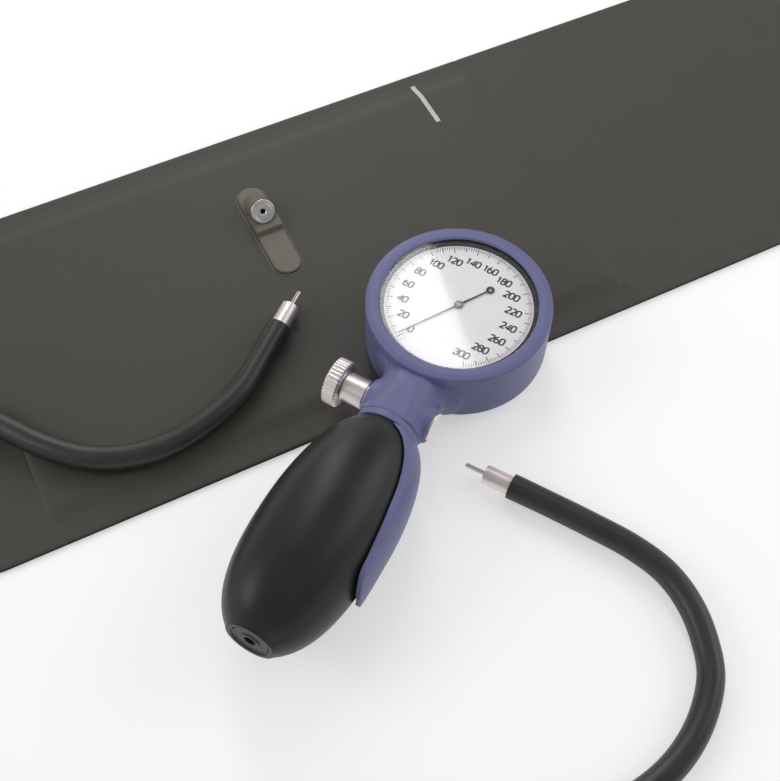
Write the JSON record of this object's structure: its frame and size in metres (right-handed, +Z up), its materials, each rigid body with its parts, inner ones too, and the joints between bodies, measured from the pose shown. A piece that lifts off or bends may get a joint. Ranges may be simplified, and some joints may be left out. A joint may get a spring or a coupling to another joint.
{
  "type": "aneroid sphygmomanometer",
  "caption": "Hand-held aneroid sphygmomanometer: dial gauge on a handle with bulb, spoon lever and release valve, an arm cuff, and a hose whose split pins plug into gauge and cuff.",
  "frame": {"origin": "the cuff's underside, straight below the centre of the gauge's dial", "axes": "+Z up, out of the dial's face; +X out of the hose socket; the handle and bulb point along -Y"},
  "size_m": [0.3892, 0.5634, 0.043],
  "materials": {
    "cuff_fabric": "brushed loop fabric",
    "lining_fabric": "smooth woven",
    "hook": "hook tape",
    "bladder_rubber": "matte",
    "port_rubber": "satin",
    "port_metal": "turned",
    "housing": "satin",
    "lens": "clear",
    "gasket": "matte",
    "dial": "matte",
    "pointer": "satin",
    "brass": "machined",
    "capsule": "rolled",
    "spring": "blued",
    "movement": "stamped",
    "steel": "turned",
    "bulb_rubber": "satin",
    "tube_plastic": "moulded",
    "valve_rubber": "matte",
    "chrome": "polished",
    "hose_rubber": "satin"
  },
  "bodies": {
    "cuff": {"cuff_lining": "lining_fabric", "cuff_bladder": "bladder_rubber", "cuff_cover": "cuff_fabric", "hook_patch": "hook", "port_boot": "port_rubber", "port_bushing": "port_metal"},
    "instrument": {"case": "housing", "bezel": "housing", "lens": "lens", "dial_spacer": "gasket", "dial": "dial", "hairspring": "spring", "movement_plate": "movement", "movement_bridge": "movement", "movement_pillars": "movement", "bridge_screws": "steel", "capsule_stem": "brass", "capsule": "capsule", "bulb": "bulb_rubber", "bulb_tube": "tube_plastic", "inlet_valve": "bulb_rubber", "valve_body": "chrome", "valve_seat": "brass", "hose_socket": "chrome", "socket_seal": "gasket"},
    "sector": {"toothed_sector": "brass"},
    "pointer": {"pointer": "pointer", "pinion_arbor": "brass"},
    "rocker": {"rocking_shaft": "steel"},
    "push_pin": {"push_pin": "steel"},
    "outlet_disc": {"outlet_disc": "valve_rubber"},
    "inlet_disc": {"inlet_disc": "valve_rubber"},
    "spoon": {"spoon": "housing"},
    "valve_thread": {"spindle_seal": "gasket"},
    "valve_knob": {"valve_knob": "chrome", "valve_spindle": "brass"},
    "hose": {"hose": "hose_rubber", "sleeve_a": "chrome", "pin_a": "chrome", "sleeve_b": "chrome", "pin_b": "chrome"}
  },
  "joints": [
    {"name": "unit_lift", "type": "slide", "parent": "cuff", "child": "instrument", "axis": [0, 0, 1], "range_m": [0, 0.08]},
    {"name": "sector_turn", "type": "hinge", "parent": "instrument", "child": "sector", "pos_m": [0.01233, 0.00549, 0.0197], "axis": [0, 0, 1], "range_deg": [0, 37.5]},
    {"name": "pointer_turn", "type": "hinge", "parent": "instrument", "child": "pointer", "pos_m": [0, 0, 0.0258], "axis": [0, 0, 1], "range_deg": [-300, 0]},
    {"name": "rocker_turn", "type": "hinge", "parent": "instrument", "child": "rocker", "pos_m": [0.005, 0.00424, 0.0147], "axis": [1, 0, 0], "range_deg": [-22.24, 0]},
    {"name": "capsule_rise", "type": "slide", "parent": "instrument", "child": "push_pin", "axis": [0, 0, 1], "range_m": [0, 0.0016], "stiffness_N_per_m": 8, "springref_m": -0.0005, "deforming": ["capsule"]},
    {"name": "outlet_valve", "type": "slide", "parent": "instrument", "child": "outlet_disc", "axis": [0, 0.9969, -0.0785], "range_m": [0, 0.0008], "stiffness_N_per_m": 5, "springref_m": -0.0002},
    {"name": "inlet_valve", "type": "slide", "parent": "instrument", "child": "inlet_disc", "axis": [0, 0.9969, -0.0785], "range_m": [0, 0.0008], "stiffness_N_per_m": 5, "springref_m": -0.0002},
    {"name": "spoon_swivel", "type": "hinge", "parent": "instrument", "child": "spoon", "pos_m": [0, -0.05383, 0.01844], "axis": [0, -0.9969, 0.0785], "range_deg": [0, 180]},
    {"name": "valve_travel", "type": "slide", "parent": "instrument", "child": "valve_thread", "axis": [-1, 0, 0], "range_m": [0, 0.0012]},
    {"name": "valve_turn", "type": "hinge", "parent": "valve_thread", "child": "valve_knob", "pos_m": [-0.024, -0.04367, 0.01764], "axis": [-1, 0, 0], "range_deg": [0, 540]},
    {"name": "hose_lift", "type": "slide", "parent": "cuff", "child": "hose", "axis": [0, 0, 1], "range_m": [0, 0.08]}
  ],
  "couplings": [
    {"joint": "sector_turn", "follows": "capsule_rise", "rad_per_m": 409.06},
    {"joint": "pointer_turn", "follows": "capsule_rise", "rad_per_m": -3272.5},
    {"joint": "rocker_turn", "follows": "capsule_rise", "rad_per_m": -242.6},
    {"joint": "valve_turn", "follows": "valve_travel", "rad_per_m": 7853.9}
  ]
}
